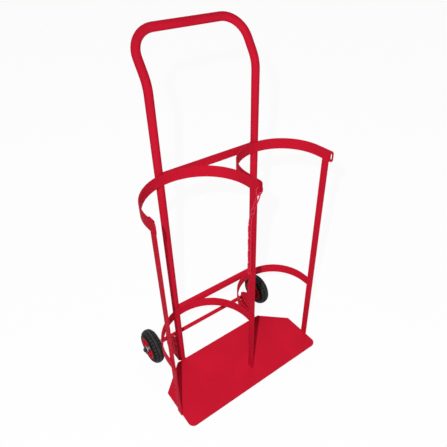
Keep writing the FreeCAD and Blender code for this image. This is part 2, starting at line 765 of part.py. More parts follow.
def rim_half(name, sign, outward):
    """Pressed half of a rim: web at the wheel's middle, tyre seat and flange."""
    body = new_body(name)
    metal, reach = size("rim_metal"), spot("rim_seat_reach")
    seat = spot("rim_seat_radius")
    hub = size("hub_diameter") / 2
    lip = seat + size("rim_flange_height")
    section = new_sketch(body, "XZ_Plane")
    bore, face, well, lip_side, lip_top, _, tyre_seat, back = polygon(section, [
        (0, hub), (metal, hub), (metal, seat - metal), (reach + metal, seat - metal),
        (reach + metal, lip), (reach, lip), (reach, seat), (0, seat)])
    inner_lip = lip_top + 1
    for number in (bore, well, lip_top, tyre_seat):
        constrain(section, "Horizontal", number)
    for number in (face, lip_side, inner_lip, back):
        constrain(section, "Vertical", number)
    constrain(section, "PointOnObject", bore, 1, upright_axis())
    dimension(section, "DistanceY", (*origin(), bore, 1), "sizes.hub_diameter / 2 + sizes.seat_clearance")
    dimension(section, "DistanceX", (bore, 1, bore, 2), "sizes.rim_metal")
    dimension(section, "DistanceY", (well, 1, tyre_seat, 1), "sizes.rim_metal")
    dimension(section, "DistanceX", (lip_top, 2, lip_top, 1), "sizes.rim_metal")
    dimension(section, "DistanceY", (*origin(), tyre_seat, 1), "places.rim_seat_radius")
    dimension(section, "DistanceX", (tyre_seat, 2, tyre_seat, 1), "places.rim_seat_reach")
    dimension(section, "DistanceY", (inner_lip, 2, inner_lip, 1), "sizes.rim_flange_height")
    disc = revolved(body, "Revolution", section)
    doc.recompute()
    corner_radius = seat - metal

    def at_well_corner(edge):
        return abs(edge.BoundBox.XMin - metal) < 0.01 and abs(edge.BoundBox.ZMax - corner_radius) < 0.01

    feature(body, "Fillet", "bend", Base=(disc, edge_names(disc.Shape, at_well_corner)),
            Radius="sizes.rim_bend_radius")
    doc.recompute()
    drilling = new_sketch(body, "YZ_Plane")
    hole = circle(drilling, (0, size("bolt_circle_diameter") / 2), size("bolt_diameter") / 2)
    constrain(drilling, "PointOnObject", hole, 3, upright_axis())
    dimension(drilling, "Radius", (hole,), "sizes.bolt_diameter / 2 + sizes.hole_clearance")
    dimension(drilling, "DistanceY", (*origin(), hole, 3), "sizes.bolt_circle_diameter / 2")
    around_axle(body, [through_cut(body, drilling, forward=True)], RIM_BOLTS)
    return on_wheel(body, sign, outward)


RIM_BOLTS = 4


def hub(name, sign):
    """Tube through both rim halves."""
    return ring(name, "sizes.hub_diameter / 2", "sizes.hub_diameter / 2 - sizes.hub_wall", "sizes.hub_length",
                x=f"{sign}places.wheel_x - sizes.hub_length / 2")


def bushes(name, sign):
    """Flanged bush in each end of the hub, running on the axle."""
    body = new_body(name)
    bore = spot("bush_bore")
    sleeve = size("hub_diameter") / 2 - size("hub_wall") - size("seat_clearance")
    flange = size("hub_diameter") / 2
    hub_end = size("hub_length") / 2
    section = new_sketch(body, "XZ_Plane")
    inner, end, rim, shoulder, outer, start = polygon(section, [
        (hub_end - size("bush_depth"), bore), (hub_end + size("bush_flange"), bore),
        (hub_end + size("bush_flange"), flange), (hub_end, flange), (hub_end, sleeve),
        (hub_end - size("bush_depth"), sleeve)])
    for number in (inner, rim, outer):
        constrain(section, "Horizontal", number)
    for number in (end, shoulder, start):
        constrain(section, "Vertical", number)
    dimension(section, "DistanceY", (*origin(), inner, 1), "places.bush_bore")
    dimension(section, "DistanceY", (*origin(), rim, 1), "sizes.hub_diameter / 2")
    dimension(section, "DistanceY", (*origin(), outer, 1),
              "sizes.hub_diameter / 2 - sizes.hub_wall - sizes.seat_clearance")
    dimension(section, "DistanceX", (*origin(), shoulder, 1), "sizes.hub_length / 2")
    dimension(section, "DistanceX", (rim, 2, rim, 1), "sizes.bush_flange")
    dimension(section, "DistanceX", (outer, 2, outer, 1), "sizes.bush_depth")
    bush = revolved(body, "Revolution", section)
    doc.recompute()
    pair = feature(body, "Mirrored", "pair", Originals=[bush],
                   MirrorPlane=(origin_feature(body, "YZ_Plane"), [""]))
    body.Tip = pair
    return on_wheel(body, sign)


def hexagon(sketch, centre_height, across):
    """Hexagon centred on the vertical axis, two of its sides upright."""
    radius = size(across) / math.sqrt(3)
    middle = size(centre_height) / 2
    turns = [math.radians(angle) for angle in range(30, 390, 60)]
    corners = [(radius * math.cos(turn), middle + radius * math.sin(turn)) for turn in turns]
    sides = polygon(sketch, corners)
    guide = circle(sketch, (0, middle), radius, construction=True)
    constrain(sketch, "PointOnObject", guide, 3, upright_axis())
    for side in sides:
        constrain(sketch, "PointOnObject", side, 1, guide)
    for side in sides[1:]:
        constrain(sketch, "Equal", sides[0], side)
    constrain(sketch, "Vertical", sides[-1])
    dimension(sketch, "Radius", (guide,), f"sizes.{across} / sqrt(3)")
    dimension(sketch, "DistanceY", (*origin(), guide, 3), f"sizes.{centre_height} / 2")


def rim_bolts(name, sign):
    """Bolts, with their nuts, that hold the rim halves together."""
    body = new_body(name)
    head_outline = new_sketch(body, "YZ_Plane", lift="sizes.rim_metal")
    hexagon(head_outline, "bolt_circle_diameter", "bolt_head_width")
    head = feature(body, "Pad", "head", Profile=head_outline, Length="sizes.bolt_head_height")
    shank_outline = new_sketch(body, "YZ_Plane", lift="sizes.rim_metal")
    shank_circle = circle(shank_outline, (0, size("bolt_circle_diameter") / 2), size("bolt_diameter") / 2)
    constrain(shank_outline, "PointOnObject", shank_circle, 3, upright_axis())
    dimension(shank_outline, "Radius", (shank_circle,), "sizes.bolt_diameter / 2")
    dimension(shank_outline, "DistanceY", (*origin(), shank_circle, 3), "sizes.bolt_circle_diameter / 2")
    shank = feature(body, "Pad", "shank", Profile=shank_outline, Reversed=True,
                    Length="2 * sizes.rim_metal + sizes.bolt_nut_height + sizes.bolt_end")
    nut_outline = new_sketch(body, "YZ_Plane", lift="-sizes.rim_metal")
    hexagon(nut_outline, "bolt_circle_diameter", "bolt_head_width")
    nut = feature(body, "Pad", "nut", Profile=nut_outline, Length="sizes.bolt_nut_height", Reversed=True)
    doc.recompute()
    around_axle(body, [head, shank, nut], RIM_BOLTS)
    return on_wheel(body, sign)


def wheel(side, sign):
    return [
        tyre(f"{side}_tyre", sign),
        rim_half(f"{side}_outer_rim", sign, outward=True),
        rim_half(f"{side}_inner_rim", sign, outward=False),
        hub(f"{side}_hub", sign),
        bushes(f"{side}_bushes", sign),
        rim_bolts(f"{side}_rim_bolts", sign),
    ]


# Chain

def link(name, inner_width, inner_length, wire):
    """Oval link of round wire in the XZ plane, centred on the origin."""
    body = new_body(name)
    bow = (size(inner_width) + size(wire)) / 2
    half = (size(inner_length) - size(inner_width)) / 2
    oval = new_sketch(body, "XZ_Plane")
    left = line(oval, (-bow, -half), (-bow, half))
    top = arc(oval, (0, half), bow, 0, math.pi)
    right = line(oval, (bow, half), (bow, -half))
    bottom = arc(oval, (0, -half), bow, math.pi, 2 * math.pi)
    for joint in ((left, 2, top, 2), (top, 1, right, 1), (right, 2, bottom, 2), (bottom, 1, left, 1)):
        constrain(oval, "Tangent", *joint)
    constrain(oval, "PointOnObject", top, 3, upright_axis())
    constrain(oval, "Symmetric", top, 3, bottom, 3, *origin())
    constrain(oval, "Equal", top, bottom)
    dimension(oval, "Radius", (top,), f"(sizes.{inner_width} + sizes.{wire}) / 2")
    dimension(oval, "DistanceY", (*origin(), top, 3), f"(sizes.{inner_length} - sizes.{inner_width}) / 2")
    section = new_sketch(body, "XY_Plane")
    rod = circle(section, (-bow, 0), size(wire) / 2)
    constrain(section, "PointOnObject", rod, 3, level_axis())
    dimension(section, "Radius", (rod,), f"sizes.{wire} / 2")
    dimension(section, "DistanceX", (rod, 3, *origin()), f"(sizes.{inner_width} + sizes.{wire}) / 2")
    doc.recompute()
    feature(body, "AdditivePipe", "wire", Profile=section, Spine=oval)
    return body


def chain_anchor():
    """Long link through the eyes of both inner hoop arms."""
    body = link("chain_anchor", "anchor_inner_width", "anchor_inner_length", "anchor_wire")
    return place(body, x="sizes.post_offset", y="places.eye_y", z="places.anchor_top_z - places.anchor_reach")


def chain_joints():
    """Points where the chain's links meet, from the anchor down, one link's step apart.

    The first links go round the post's front edge, the others hang along its left face.
    """
    count = round(size("chain_link_count"))
    round_the_edge = [(0.67, 0.02), (1, 0.25), (1, 0.55), (1, 0.85)]
    along_the_face = [(1, 1)] * count
    shares = (round_the_edge + along_the_face)[:count]
    hang = spot("anchor_top_z") - 2 * spot("anchor_reach") + size("anchor_wire") / 2
    step = size("chain_pitch") - size("chain_clearance")
    joints = [V(size("post_offset"), spot("eye_y"), hang + size("chain_clearance") / 2)]
    for sideways, back in shares:
        x = size("post_offset") - sideways * size("chain_sideways")
        y = spot("eye_y") + back * size("chain_setback")
        last = joints[-1]
        drop = math.sqrt(step ** 2 - (x - last.x) ** 2 - (y - last.y) ** 2)
        joints.append(V(x, y, last.z - drop))
    return joints


def chain_links():
    """Links that hang from the anchor, each a quarter turn from the one above it."""
    pattern = link("chain_link", "chain_inner_width", "chain_pitch", "chain_wire")
    doc.recompute()
    joints = chain_joints()
    links = []
    for k, (top, bottom) in enumerate(zip(joints, joints[1:])):
        lean = FreeCAD.Rotation(UP, top - bottom)
        turn = FreeCAD.Rotation(UP, 90 * ((k + 1) % 2))
        at = FreeCAD.Placement((top + bottom) / 2, lean.multiply(turn))
        links.append(pattern.Shape.transformed(at.toMatrix(), True))
    chain = doc.addObject("Part::Feature", "chain_links")
    chain.Shape = Part.Compound(links)
    return chain


def check(pieces):
    """Stop before anything is written if a feature failed or a piece isn't a sound solid."""
    for thing in doc.Objects:
        if {"Invalid", "Error"} & set(thing.State):
            raise RuntimeError(f"{thing.Name} failed: {thing.State}")
    for piece in pieces:
        if piece.Shape.isNull() or not piece.Shape.isValid() or not piece.Shape.Solids:
            raise RuntimeError(f"{piece.Label} isn't a sound solid")


def main():
    pieces = [
        base_plate(),
        handle_frame(),
        cross_tube("upper_cross_tube", "sizes.upper_hoop_top"),
        cross_tube("lower_cross_tube", "sizes.lower_hoop_top"),
        hoop("upper", "left"),
        hoop("upper", "right"),
        hoop("lower", "left"),
        hoop("lower", "right"),
        flat_bar("left_upright", "-sizes.plate_width / 2 - sizes.bar_thickness", foot="0"),
        flat_bar("right_upright", "sizes.plate_width / 2", foot="0"),
        flat_bar("centre_post", "sizes.post_offset - sizes.bar_thickness / 2", foot="sizes.plate_thickness"),
        axle_bracket("left_axle_bracket", "-"),
        axle_bracket("right_axle_bracket", ""),
        axle(),
        axle_collars(),
        axle_washers(),
        split_pins(),
        *wheel("left", "-"),
        *wheel("right", ""),
        chain_anchor(),
        chain_links(),
    ]
    doc.recompute()
    check(pieces)
    os.makedirs("parts", exist_ok=True)
    for piece in pieces:
        piece.Shape.exportStep(f"parts/{piece.Label}.step")


main()
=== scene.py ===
"""Double cylinder cart: paint, tyre tread, weld beads and studio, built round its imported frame."""
import math

import bmesh
import bpy
from bpy.props import FloatProperty, FloatVectorProperty, IntProperty, PointerProperty
from bpy.types import NodeSocket, Operator, Panel, PropertyGroup, Scene
from mathutils import Matrix, Vector


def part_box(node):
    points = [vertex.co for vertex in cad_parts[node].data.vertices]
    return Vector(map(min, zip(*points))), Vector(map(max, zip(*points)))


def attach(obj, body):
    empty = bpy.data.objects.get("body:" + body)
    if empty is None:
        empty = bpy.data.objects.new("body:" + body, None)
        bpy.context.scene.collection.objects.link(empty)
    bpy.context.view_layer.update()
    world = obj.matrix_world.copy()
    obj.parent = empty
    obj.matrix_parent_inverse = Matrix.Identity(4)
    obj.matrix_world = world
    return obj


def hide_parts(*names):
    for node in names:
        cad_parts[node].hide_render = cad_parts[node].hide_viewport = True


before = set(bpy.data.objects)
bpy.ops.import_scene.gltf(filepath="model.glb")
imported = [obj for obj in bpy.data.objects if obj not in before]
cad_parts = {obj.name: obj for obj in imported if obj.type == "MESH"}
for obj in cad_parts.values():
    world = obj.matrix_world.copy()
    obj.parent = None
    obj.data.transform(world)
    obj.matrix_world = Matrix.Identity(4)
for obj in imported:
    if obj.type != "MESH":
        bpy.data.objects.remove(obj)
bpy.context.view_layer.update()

bl_info = {
    "name": "Double Cylinder Cart",
    "version": (1, 0, 0),
    "blender": (4, 5, 0),
    "location": "3D View > Sidebar > Cart",
    "description": "Paints and finishes a welded cart for a pair of gas cylinders",
    "category": "Object",
}

SIDES = {"left": -1, "right": 1}
PHOTO_PIXELS = 447
SENSOR_WIDTH = 36.0
WHITE = (1.0, 1.0, 1.0, 1.0)

PAINTED_NODES = (
    "base_plate", "handle_frame", "upper_cross_tube", "lower_cross_tube",
    "upper_left_hoop", "upper_right_hoop", "lower_left_hoop", "lower_right_hoop",
    "left_upright", "right_upright", "centre_post",
    "left_axle_bracket", "right_axle_bracket",
)
PLATED_NODES = ("axle_collars", "left_hub", "right_hub", "left_rim_bolts", "right_rim_bolts")
PIN_NODES = ("axle_washers", "split_pins")
RIM_NODES = ("left_outer_rim", "left_inner_rim", "right_outer_rim", "right_inner_rim")
CHAIN_NODES = ("chain_anchor", "chain_links")
BUSH_NODES = ("left_bushes", "right_bushes")


# Settings

def colour(name, description, default):
    return FloatVectorProperty(name=name, description=description, subtype="COLOR", size=3,
                               min=0.0, max=1.0, default=default)


def length(name, description, default):
    return FloatProperty(name=name, description=description, subtype="DISTANCE", unit="LENGTH",
                         min=0.0, default=default, precision=5)


def share(name, description, default):
    return FloatProperty(name=name, description=description, subtype="FACTOR",
                         min=0.0, max=1.0, default=default)


def brightness(name, description, default):
    return FloatProperty(name=name, description=description, min=0.0, default=default)


def position(name, description, default):
    return FloatVectorProperty(name=name, description=description, subtype="TRANSLATION", unit="LENGTH",
                               size=3, default=default)


def angle(name, description, degrees):
    return FloatProperty(name=name, description=description, subtype="ANGLE", unit="ROTATION",
                         default=math.radians(degrees))


class CartPaint(PropertyGroup):
    """Sprayed red coat on the frame, rims and chain."""

    colour: colour("Colour", "Colour of the coat on the frame", (0.52, 0.009, 0.028))
    # Same red coat as the frame, made lighter as a painted highlight on the chain's links.
    chain_coat_and_highlight_colour: colour("Chain", "Colour of the thin coat on the chain", (0.64, 0.027, 0.062))
    chip_colour: colour("Bare steel", "Colour where a chip shows the steel", (0.16, 0.14, 0.13))
    roughness: share("Roughness", "How dull the coat is", 0.48)
    sheen: share("Sheen", "How much light the coat mirrors", 0.008)
    mottle: share("Mottle", "How much the coat's tone wanders", 0.07)
    peel_size: length("Peel size", "Width of a dimple in the coat's orange peel", 0.0022)
    peel_depth: length("Peel depth", "Depth of the orange peel", 0.00012)
    scuffs: share("Scuffs", "How much of the coat is rubbed dull", 0.35)


class CartRubber(PropertyGroup):
    """Tyres: compound and tread."""

    colour: colour("Colour", "Colour of clean rubber", (0.003, 0.003, 0.0034))
    # Grey on the raised tread: partly wear and partly a painted highlight where the lamp catches the crown.
    worn_and_highlight_colour: colour("Worn rubber", "Colour where the tread is worn grey", (0.036, 0.036, 0.036))
    dust_colour: colour("Dust", "Colour of the dust on the sides and in the grooves", (0.012, 0.011, 0.010))
    roughness: share("Roughness", "How dull the rubber is", 0.55)
    sheen: share("Sheen", "How much light the rubber mirrors", 0.06)
    bead_radius: length("Bead radius", "Inside radius of the tyre", 0.0381)
    bead_width: length("Bead width", "Width of the tyre between the rim's flanges", 0.0398)
    wall_foot: length("Wall foot", "Radius where the side leaves the rim's flange", 0.0441)
    tread_width: length("Tread width", "Width across the tread's shoulders", 0.034)
    shoulder_drop: length("Shoulder drop", "How far the shoulders lie below the crown", 0.00667)
    groove_depth: length("Groove depth", "Depth of the grooves and notches", 0.0030)
    groove_inside: length("Groove inside", "From the middle to the near side of a groove", 0.0050)
    groove_outside: length("Groove outside", "From the middle to the far side of a groove", 0.0080)
    blocks: IntProperty(name="Blocks", description="Tread blocks round a shoulder", min=8, max=60, default=30)
    block_edge: length("Block edge", "Rounding on the edges of the tread blocks", 0.0004)


class CartPlating(PropertyGroup):
    """Zinc-plated fasteners and nylon bushes."""

    zinc_colour: colour("Zinc", "Colour of the plated steel", (0.36, 0.36, 0.37))
    # Dark steel: the darkness is painted shade from inside the wheel's hub.
    pin_shaded_colour: colour("Pins", "Colour of the oiled washers and split pins", (0.070, 0.062, 0.070))
    # Bare steel made dark: the darkness is painted shade from inside the wheel's hub.
    axle_end_shaded_colour: colour("Axle", "Colour of the axle's bare ends", (0.045, 0.040, 0.044))
    axle_paint_reach: length("Axle paint reach", "How far from the middle the axle is painted", 0.2332)
    zinc_roughness: share("Zinc roughness", "How dull the plating is", 0.38)
    nylon_colour: colour("Nylon", "Colour of the bushes", (0.60, 0.60, 0.58))
    nylon_roughness: share("Nylon roughness", "How dull the bushes are", 0.45)


class CartWelds(PropertyGroup):
    """Weld beads between the frame's pieces."""

    bead_width: length("Bead width", "Width of a weld bead", 0.0046)
    ripple_pitch: length("Ripple pitch", "Step from one ripple to the next", 0.0019)
    flatness: share("Flatness", "Height of a bead over its width", 0.62)


class CartStudio(PropertyGroup):
    """Camera, floor and lamps."""

    camera_place: position("Camera place", "Where the camera stands", (-0.637, -0.8362, 1.4098))
    camera_yaw: angle("Camera yaw", "Turn of the view from straight back to the right", 34.923)
    camera_pitch: angle("Camera pitch", "Tilt of the view below level", 35.429)
    camera_roll: angle("Camera roll", "Lean of the picture", -1.674)
    focal_pixels: FloatProperty(name="Focal length", description="Focal length in pixels of the photograph",
                                default=421.72)
    floor_colour: colour("Floor", "Colour of the floor", (0.80, 0.80, 0.80))
    floor_glow: share("Floor glow", "Share of the floor's white that the camera sees without light", 0.93)
    ambient: brightness("Ambient", "Strength of the room's even light", 0.30)
    key_strength: brightness("Key strength", "Strength of the key lamp beside the camera", 2.4)
    key_place: position("Key place", "Where the key lamp stands", (-0.740, -0.815, 1.540))
    key_radius: length("Key radius", "Radius of the key lamp, which softens the shadows", 0.01)
    back_strength: brightness("Back strength", "Strength of the soft light from behind", 1.0)
    back_yaw: angle("Back yaw", "Turn of the back light's travel from straight back to the right", 200.0)
    back_pitch: angle("Back pitch", "Fall of the back light below level", 35.0)
    back_spread: angle("Back spread", "Width of the back light as seen from the cart", 60.0)


SETTINGS = {
    "cart_paint": CartPaint,
    "cart_rubber": CartRubber,
    "cart_plating": CartPlating,
    "cart_welds": CartWelds,
    "cart_studio": CartStudio,
}


# Shader nodes

def add_node(tree, kind, inputs=None, **settings):
    """Node with its settings made, and its inputs linked or set by name or number."""
    node = tree.nodes.new(kind)
    for key, value in settings.items():
        setattr(node, key, value)
    for key, value in (inputs or {}).items():
        if isinstance(value, NodeSocket):
            tree.links.new(value, node.inputs[key])
        else:
            node.inputs[key].default_value = value
    return node


def object_coordinates(tree):
    return add_node(tree, "ShaderNodeTexCoord").outputs["Object"]


def noise(tree, vector, scale, detail=2.0, roughness=0.5):
    node = add_node(tree, "ShaderNodeTexNoise",
                    {"Vector": vector, "Scale": scale, "Detail": detail, "Roughness": roughness})
    return node.outputs[0]


def stretched(tree, vector, scale):
    return add_node(tree, "ShaderNodeMapping", {"Vector": vector, "Scale": scale}).outputs[0]


def map_range(tree, value, low, high, to_low, to_high):
    return add_node(tree, "ShaderNodeMapRange", {
        "Value": value, "From Min": low, "From Max": high, "To Min": to_low, "To Max": to_high}).outputs[0]


def arithmetic(tree, operation, first, second):
    return add_node(tree, "ShaderNodeMath", {0: first, 1: second}, operation=operation).outputs[0]


def scaled_colour(tree, tint, factor):
    return add_node(tree, "ShaderNodeVectorMath", {0: tint, "Scale": factor}, operation="SCALE").outputs[0]


MIX_FACTOR, MIX_FIRST, MIX_SECOND, MIX_RESULT = 0, 6, 7, 2


def mixed_colour(tree, factor, first, second):
    inputs = {MIX_FACTOR: factor, MIX_FIRST: first, MIX_SECOND: second}
    return add_node(tree, "ShaderNodeMix", inputs, data_type="RGBA").outputs[MIX_RESULT]


def bumped(tree, height, distance, normal=None):
    inputs = {"Height": height, "Distance": distance, "Strength": 1.0}
    if normal:
        inputs["Normal"] = normal
    return add_node(tree, "ShaderNodeBump", inputs).outputs[0]


SOCKET_KINDS = {"Color": "NodeSocketColor", "Normal": "NodeSocketVector", "Bare Color": "NodeSocketColor"}


def new_group(name, inputs, outputs):
    """Empty shader group with named sockets: its tree, its input node and its output node."""
    tree = bpy.data.node_groups.new(name, "ShaderNodeTree")
    for sockets, way in ((inputs, "INPUT"), (outputs, "OUTPUT")):
        for socket in sockets:
            kind = SOCKET_KINDS.get(socket, "NodeSocketFloat")
            tree.interface.new_socket(socket, in_out=way, socket_type=kind)
    return tree, tree.nodes.new("NodeGroupInput").outputs, tree.nodes.new("NodeGroupOutput").inputs


# Patterns in the surfaces: scales in repeats per metre, limits in the noise, and sizes of the effects.
NOISE_LOW, NOISE_MIDDLE, NOISE_HIGH = 0.3, 0.5, 0.7
TONE_SCALE, TONE_SWING = 7.0, 4.0
RUB_SCALE = (40.0, 40.0, 9.0)
RUB_STARTS, RUB_FULL = 0.54, 0.72
RUB_SHARE, RUB_LIGHTENS, RUB_DULLS = 0.25, 1.35, 0.18
CHIP_SCALE, CHIP_LIMIT, CHIP_DEPTH = 160.0, 0.80, 0.6
GLOSS_SCALE, GLOSS_LOW, GLOSS_HIGH = 24.0, -0.05, 0.06
CLOUD_SCALE, CLOUD_DARK, CLOUD_PALE = 60.0, 0.78, 1.12
GRAIN_STRETCH = (6.0, 1.0, 1.0)
GRAIN_SMOOTHS, GRAIN_DULLS = -0.08, 0.10
DUST_SCALE, DUST_STARTS, DUST_FULL = 55.0, 0.40, 0.66
CLEAN_DULLS, DUST_DULLS, WEAR_DULLS = -0.06, 0.16, -0.08
# Least share of the raised tread's grey, which is partly wear and partly painted highlight.
LEAST_WEAR_AND_HIGHLIGHT = 0.75
RUBBER_GRAIN_SCALE, RUBBER_GRAIN_DEPTH = 900.0, 0.00008


def sprayed_coat_group():
    """Sprayed paint: wandering tone, orange peel, rubbed patches and small chips."""
    tree, given, result = new_group(
        "sprayed_coat",
        ("Color", "Bare Color", "Roughness", "Mottle", "Peel Scale", "Peel Depth", "Scuffs", "Chips"),
        ("Color", "Roughness", "Normal"))
    place = object_coordinates(tree)
    cloud = noise(tree, place, TONE_SCALE, detail=4.0, roughness=0.6)
    swing = arithmetic(tree, "MULTIPLY", arithmetic(tree, "SUBTRACT", cloud, NOISE_MIDDLE), TONE_SWING)
    tone = arithmetic(tree, "ADD", 1.0, arithmetic(tree, "MULTIPLY", swing, given["Mottle"]))
    toned = scaled_colour(tree, given["Color"], tone)
    streaks = noise(tree, stretched(tree, place, RUB_SCALE), 1.0, detail=5.0, roughness=0.7)
    rub = map_range(tree, streaks, RUB_STARTS, RUB_FULL, 0.0, 1.0)
    rub = arithmetic(tree, "MULTIPLY", rub, given["Scuffs"])
    lighter = scaled_colour(tree, toned, RUB_LIGHTENS)
    rubbed = mixed_colour(tree, arithmetic(tree, "MULTIPLY", rub, RUB_SHARE), toned, lighter)
    spots = noise(tree, place, CHIP_SCALE, detail=3.0, roughness=0.55)
    chip = arithmetic(tree, "GREATER_THAN", arithmetic(tree, "ADD", spots, given["Chips"]), CHIP_LIMIT)
    chipped = mixed_colour(tree, chip, rubbed, given["Bare Color"])
    gloss = noise(tree, place, GLOSS_SCALE, detail=3.0)
    gloss = map_range(tree, gloss, NOISE_LOW, NOISE_HIGH, GLOSS_LOW, GLOSS_HIGH)
    dullness = arithmetic(tree, "ADD", given["Roughness"], gloss)
    dullness = arithmetic(tree, "ADD", dullness, arithmetic(tree, "MULTIPLY", rub, RUB_DULLS))
    peel = noise(tree, place, given["Peel Scale"], detail=1.0)
    height = arithmetic(tree, "SUBTRACT", peel, arithmetic(tree, "MULTIPLY", chip, CHIP_DEPTH))
    tree.links.new(chipped, result["Color"])
    tree.links.new(dullness, result["Roughness"])
    tree.links.new(bumped(tree, height, given["Peel Depth"]), result["Normal"])
    return tree


def tarnish_group():
    """Plated or moulded surface: cloudy tone, fine scratches and faint grime."""
    tree, given, result = new_group("tarnish", ("Color", "Roughness", "Grain Scale", "Depth"),
                                    ("Color", "Roughness", "Normal"))
    place = object_coordinates(tree)
    cloud = noise(tree, place, CLOUD_SCALE, detail=4.0, roughness=0.6)
    tone = map_range(tree, cloud, NOISE_LOW, NOISE_HIGH, CLOUD_DARK, CLOUD_PALE)
    fine = stretched(tree, place, GRAIN_STRETCH)
    grain = noise(tree, fine, given["Grain Scale"], detail=3.0, roughness=0.65)
    scratches = map_range(tree, grain, NOISE_LOW, NOISE_HIGH, GRAIN_SMOOTHS, GRAIN_DULLS)
    dullness = arithmetic(tree, "ADD", given["Roughness"], scratches)
    tree.links.new(scaled_colour(tree, given["Color"], tone), result["Color"])
    tree.links.new(dullness, result["Roughness"])
    tree.links.new(bumped(tree, grain, given["Depth"]), result["Normal"])
    return tree


def new_material(name):
    """Material with a plain Principled shader: its tree and that shader's inputs."""
    material = bpy.data.materials.new(name)
    material.use_nodes = True
    shader = material.node_tree.nodes["Principled BSDF"]
    return material, material.node_tree, shader.inputs


def grouped_material(name, group, build, values):
    """Material whose surface comes from a shared group, built on first use, with these values."""
    material, tree, shader = new_material(name)
    shared = bpy.data.node_groups.get(group) or build()
    surface = add_node(tree, "ShaderNodeGroup", values, node_tree=shared).outputs
    for socket, target in (("Color", "Base Color"), ("Roughness", "Roughness"), ("Normal", "Normal")):
        tree.links.new(surface[socket], shader[target])
    return material, shader


def opaque(tint):
    return (*tint, 1.0)


def paint_material(name, tint, chips, scuffs, peel_share=1.0):
    """Sprayed coat in a tint. chips is 0 for a whole coat and rises to about 0.2 for a worn one."""
    paint = bpy.context.scene.cart_paint
    material, shader = grouped_material(name, "sprayed_coat", sprayed_coat_group, {
        "Color": opaque(tint),
        "Bare Color": opaque(paint.chip_colour),
        "Roughness": paint.roughness,
        "Mottle": paint.mottle,
        "Peel Scale": 1.0 / paint.peel_size,
        "Peel Depth": paint.peel_depth * peel_share,
        "Scuffs": scuffs,
        "Chips": chips,
    })
    shader["Specular IOR Level"].default_value = paint.sheen
    return material


def tarnish_material(name, tint, roughness, metallic, grain_scale, depth):
    material, shader = grouped_material(name, "tarnish", tarnish_group, {
        "Color": opaque(tint), "Roughness": roughness, "Grain Scale": grain_scale, "Depth": depth})
    shader["Metallic"].default_value = metallic
    return material


def rubber_material():
    """Black rubber with a fine grain: dusty in patches, and grey where the tread attribute is high, which is
    partly wear and partly a painted highlight on the tread.
    """
    rubber = bpy.context.scene.cart_rubber
    material, tree, shader = new_material("tyre_rubber")
    place = object_coordinates(tree)
    tread = add_node(tree, "ShaderNodeAttribute", attribute_name="tread_top").outputs["Fac"]
    dust = noise(tree, place, DUST_SCALE, detail=5.0, roughness=0.62)
    patches = map_range(tree, dust, DUST_STARTS, DUST_FULL, 0.0, 1.0)
    dusty = mixed_colour(tree, patches, opaque(rubber.colour), opaque(rubber.dust_colour))
    # The raised tread turns grey: partly wear, partly a painted highlight.
    wear_and_highlight = arithmetic(tree, "MULTIPLY", tread, map_range(tree, patches, 0.0, 1.0, LEAST_WEAR_AND_HIGHLIGHT, 1.0))
    tree.links.new(mixed_colour(tree, wear_and_highlight, dusty, opaque(rubber.worn_and_highlight_colour)), shader["Base Color"])
    worn = arithmetic(tree, "MULTIPLY", tread, WEAR_DULLS)
    clean_dullness, dust_dullness = rubber.roughness + CLEAN_DULLS, rubber.roughness + DUST_DULLS
    unworn = map_range(tree, patches, 0.0, 1.0, clean_dullness, dust_dullness)
    tree.links.new(arithmetic(tree, "ADD", unworn, worn), shader["Roughness"])
    shader["Specular IOR Level"].default_value = rubber.sheen
    grain = noise(tree, place, RUBBER_GRAIN_SCALE, detail=2.0)
    tree.links.new(bumped(tree, grain, RUBBER_GRAIN_DEPTH), shader["Normal"])
    return material


def axle_material():
    """The frame's coat between the collars and bare steel outside them, made dark as painted shade from
    inside the wheel's hub.
    """
    plating = bpy.context.scene.cart_plating
    material = bpy.data.materials["frame_paint"].copy()
    material.name = "axle_paint"
    tree = material.node_tree
    shader = tree.nodes["Principled BSDF"].inputs
    across = add_node(tree, "ShaderNodeSeparateXYZ", {0: object_coordinates(tree)}).outputs["X"]
    distance = arithmetic(tree, "ABSOLUTE", across, 0.0)
    outside = arithmetic(tree, "GREATER_THAN", distance, plating.axle_paint_reach)
    coat = shader["Base Color"].links[0].from_socket
    # The bare ends take a dark colour that is painted shade from the hub.
    tree.links.new(mixed_colour(tree, outside, coat, opaque(plating.axle_end_shaded_colour)), shader["Base Color"])
    tree.links.new(outside, shader["Metallic"])
    return material


def dress(nodes, material):
    for name in nodes:
        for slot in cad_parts[name].material_slots:
            slot.material = material


# Mesh helpers

def new_piece(name, mesh, material, body):
    """Finished piece at the origin that rides on a body."""
    piece = bpy.data.objects.new(name, mesh)
    bpy.context.scene.collection.objects.link(piece)
    mesh.materials.append(material)
    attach(piece, body)
    return piece


def mesh_from(bm, name):
    mesh = bpy.data.meshes.new(name)
    bm.to_mesh(mesh)
    bm.free()
    return mesh


def middle(low, high):
    return (low + high) / 2


# Tyres

WALL_STEPS = 9
SHOULDER_STEPS = 4
RIB_STEPS = 2
FACES_PER_BLOCK = 4
MERGE_DISTANCE = 1e-6
DROP_MARGIN = 1.05


def crown_drop(x, tread_half, shoulder_drop):
    """How far the tread's round crown lies below its top at a distance x from its middle."""
    radius = (tread_half ** 2 + shoulder_drop ** 2) / (2 * shoulder_drop)
    return radius - math.sqrt(radius ** 2 - x ** 2)


def bulged(start, end, bulge, steps):
    """Points between two points on an arc that stands out by the bulge, to +X."""
    chord = end - start
    out = Vector((chord.z, 0, -chord.x)).normalized()
    return [start + chord * t + out * bulge * 4 * t * (1 - t) for t in (k / steps for k in range(1, steps))]


def stepped(start, end, steps):
    return [start + (end - start) * k / steps for k in range(steps + 1)]


